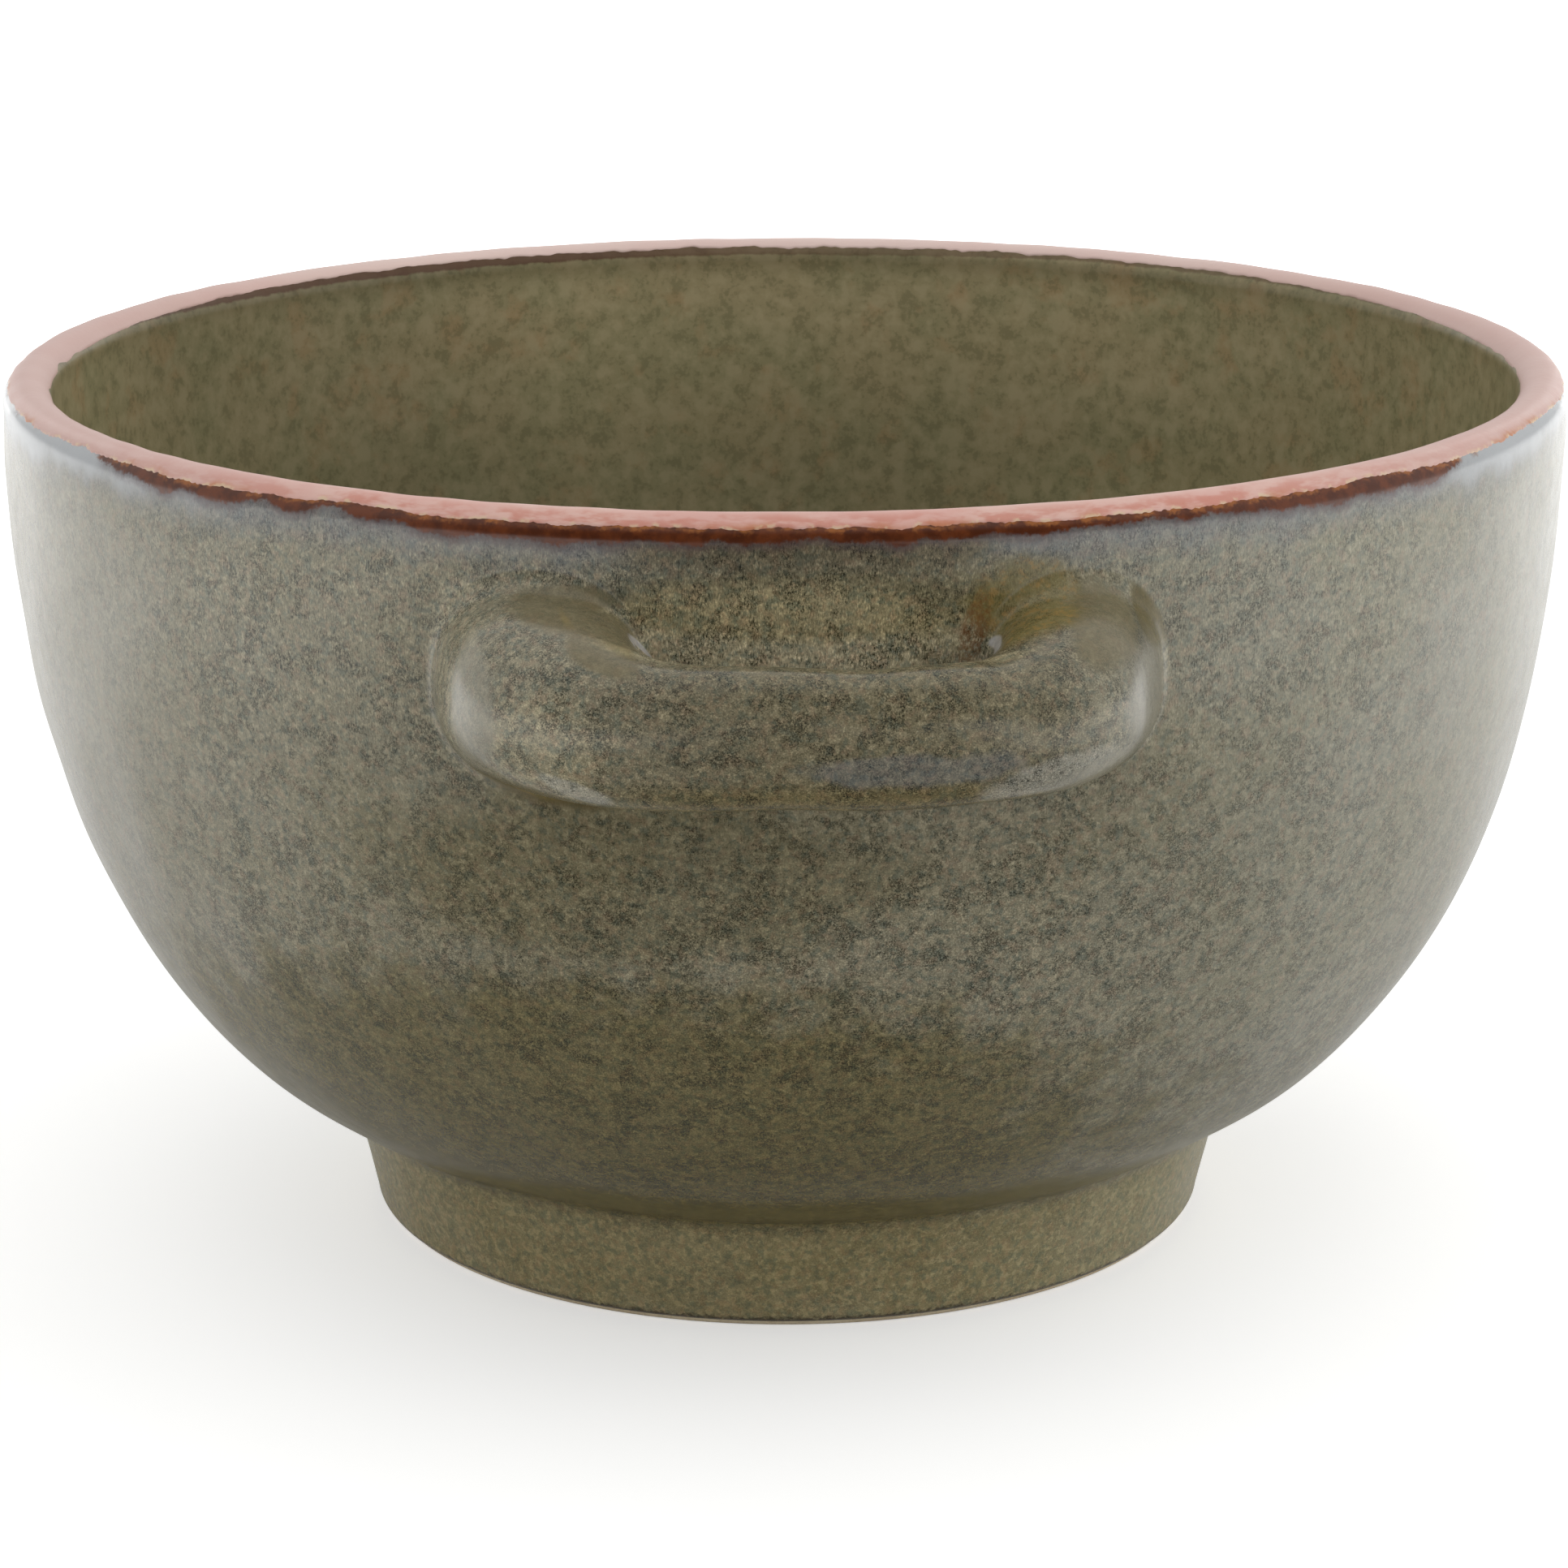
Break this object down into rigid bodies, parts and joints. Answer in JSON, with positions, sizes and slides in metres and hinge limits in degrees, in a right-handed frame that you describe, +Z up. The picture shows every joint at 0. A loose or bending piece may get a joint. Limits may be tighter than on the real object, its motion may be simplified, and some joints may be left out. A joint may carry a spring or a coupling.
{
  "type": "lug soup bowl",
  "caption": "Deep round soup bowl on a foot ring, with a level loop lug on each side, in speckled olive grey glaze with a pale pink rim.",
  "frame": {"origin": "middle of the foot ring's underside, at the height of the table", "axes": "+Z up along the bowl's axis, Y through the two lugs with the front lug at -Y, +X to the right seen from the front"},
  "size_m": [0.14, 0.166, 0.079],
  "materials": {
    "bare_clay": "matte",
    "olive_glaze": "gloss",
    "speckled_glaze": "gloss",
    "pink_glaze": "gloss"
  },
  "bodies": {
    "root": {"bowl_body": "bare_clay", "foot_ring": "bare_clay", "lug_front": "bare_clay", "lug_back": "bare_clay", "inside_glaze": "olive_glaze", "outside_glaze": "speckled_glaze", "foot_well_glaze": "olive_glaze", "rim_band": "pink_glaze", "lug_glaze_front": "speckled_glaze", "lug_glaze_back": "speckled_glaze"}
  },
  "joints": []
}
